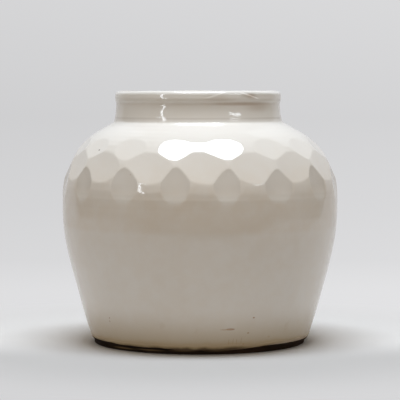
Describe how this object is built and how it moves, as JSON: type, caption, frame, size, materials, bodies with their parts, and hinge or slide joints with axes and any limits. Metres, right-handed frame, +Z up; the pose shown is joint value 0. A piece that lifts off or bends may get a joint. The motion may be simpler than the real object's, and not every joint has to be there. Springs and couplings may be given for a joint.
{
  "type": "wide-mouthed ceramic jar",
  "caption": "Shouldered stoneware jar with a wide open mouth, a low banded neck, staggered facets round the shoulder and a flat foot ring, for storing or displaying things.",
  "frame": {"origin": "middle of the foot, on the plane that the jar stands on", "axes": "+Z up along the jar's axis, towards the mouth; a facet of the middle row faces -Y"},
  "size_m": [0.3, 0.3, 0.2731],
  "materials": {
    "clay": "matt fired stoneware",
    "bare_foot": "matt bare stoneware, browned by the fire",
    "slip": "matt fired slip",
    "outer_glaze": "glossy milk-white glaze",
    "inner_glaze": "glossy milk-white glaze"
  },
  "bodies": {
    "root": {"foot_ring": "bare_foot", "foot_slip": "slip", "lower_bowl": "clay", "waist_slip": "slip", "upper_bowl": "clay", "neck_slip": "slip", "neck_collar": "clay", "rim_slip": "slip", "rim_band": "clay", "outer_glaze": "outer_glaze", "inner_glaze": "inner_glaze"}
  },
  "joints": []
}
